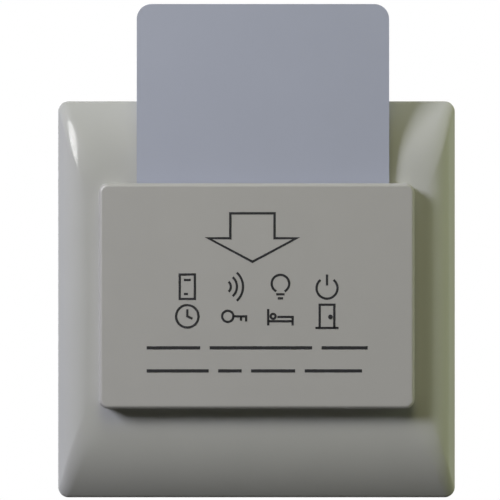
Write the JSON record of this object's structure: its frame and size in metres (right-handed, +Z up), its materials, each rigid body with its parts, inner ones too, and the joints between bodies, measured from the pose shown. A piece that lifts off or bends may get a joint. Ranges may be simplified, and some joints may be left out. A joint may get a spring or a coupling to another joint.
{
  "type": "hotel key card switch",
  "caption": "Square pillow-shaped wall plate with a proud card pocket and an upright key card; reader, relay and screw terminals sit in a housing behind the wall base.",
  "frame": {"origin": "centre of the plate on the wall plane, which is the back face of the base's flange", "axes": "+X right, +Y into the wall, +Z up; the front faces -Y"},
  "size_m": [0.086, 0.0388, 0.1063],
  "materials": {
    "plate_plastic": "glossy warm grey moulding",
    "cover_plastic": "satin warm grey moulding",
    "card_plastic": "matte white card stock",
    "inlay_plastic": "translucent inlay sheet",
    "antenna_copper": "bare copper",
    "chip_black": "moulded epoxy",
    "base_plastic": "fine grained pale grey moulding",
    "housing_plastic": "fine grained black moulding",
    "screw_steel": "zinc plated",
    "board_laminate": "green solder mask",
    "coil_copper": "enamelled copper wire",
    "relay_black": "moulded case",
    "film_yellow": "dipped film capacitor",
    "sleeve_dark": "shrink sleeve",
    "ferrite": "sintered ferrite",
    "winding_tape": "polyester tape",
    "varistor_blue": "epoxy coat",
    "fuse_brown": "moulded case",
    "crystal_can": "drawn steel can",
    "terminal_green": "polyamide moulding",
    "contact_brass": "tinned brass"
  },
  "bodies": {
    "base": {"mounting_base": "base_plastic", "mounting_screws": "screw_steel", "rear_housing": "housing_plastic", "housing_screws": "screw_steel", "main_board": "board_laminate", "board_screws": "screw_steel", "antenna_coil": "coil_copper", "relay": "relay_black", "film_capacitor": "film_yellow", "smoothing_capacitor": "sleeve_dark", "transformer_core": "ferrite", "transformer_bobbin": "winding_tape", "varistor": "varistor_blue", "fuse": "fuse_brown", "bridge_rectifier": "chip_black", "reader_chip": "chip_black", "controller_chip": "chip_black", "crystal": "crystal_can", "terminal_block": "terminal_green", "terminal_contacts": "contact_brass"},
    "front": {"front_plate": "plate_plastic", "slot_cover": "cover_plastic", "cover_screws": "screw_steel"},
    "card": {"card_front": "card_plastic", "card_inlay": "inlay_plastic", "card_antenna": "antenna_copper", "card_chip": "chip_black", "card_back": "card_plastic"},
    "screw_1": {"terminal_screw_1": "screw_steel"},
    "clamp_1": {"terminal_clamp_1": "contact_brass"},
    "screw_2": {"terminal_screw_2": "screw_steel"},
    "clamp_2": {"terminal_clamp_2": "contact_brass"},
    "screw_3": {"terminal_screw_3": "screw_steel"},
    "clamp_3": {"terminal_clamp_3": "contact_brass"},
    "screw_4": {"terminal_screw_4": "screw_steel"},
    "clamp_4": {"terminal_clamp_4": "contact_brass"}
  },
  "joints": [
    {"name": "plate_pull", "type": "slide", "parent": "base", "child": "front", "axis": [0, -1, 0], "range_m": [0, 0.03]},
    {"name": "card_slide", "type": "slide", "parent": "front", "child": "card", "axis": [0, 0, 1], "range_m": [0, 0.046]},
    {"name": "screw_turn_1", "type": "hinge", "parent": "base", "child": "screw_1", "pos_m": [-0.0135, 0.0158, -0.02385], "axis": [0, -1, 0], "range_deg": [0, 1800]},
    {"name": "clamp_lift_1", "type": "slide", "parent": "base", "child": "clamp_1", "axis": [0, 1, 0], "range_m": [0, 0.003]},
    {"name": "screw_turn_2", "type": "hinge", "parent": "base", "child": "screw_2", "pos_m": [-0.0045, 0.0158, -0.02385], "axis": [0, -1, 0], "range_deg": [0, 1800]},
    {"name": "clamp_lift_2", "type": "slide", "parent": "base", "child": "clamp_2", "axis": [0, 1, 0], "range_m": [0, 0.003]},
    {"name": "screw_turn_3", "type": "hinge", "parent": "base", "child": "screw_3", "pos_m": [0.0045, 0.0158, -0.02385], "axis": [0, -1, 0], "range_deg": [0, 1800]},
    {"name": "clamp_lift_3", "type": "slide", "parent": "base", "child": "clamp_3", "axis": [0, 1, 0], "range_m": [0, 0.003]},
    {"name": "screw_turn_4", "type": "hinge", "parent": "base", "child": "screw_4", "pos_m": [0.0135, 0.0158, -0.02385], "axis": [0, -1, 0], "range_deg": [0, 1800]},
    {"name": "clamp_lift_4", "type": "slide", "parent": "base", "child": "clamp_4", "axis": [0, 1, 0], "range_m": [0, 0.003]}
  ],
  "couplings": [
    {"joint": "screw_turn_1", "follows": "clamp_lift_1", "rad_per_m": 10472},
    {"joint": "screw_turn_2", "follows": "clamp_lift_2", "rad_per_m": 10472},
    {"joint": "screw_turn_3", "follows": "clamp_lift_3", "rad_per_m": 10472},
    {"joint": "screw_turn_4", "follows": "clamp_lift_4", "rad_per_m": 10472}
  ]
}
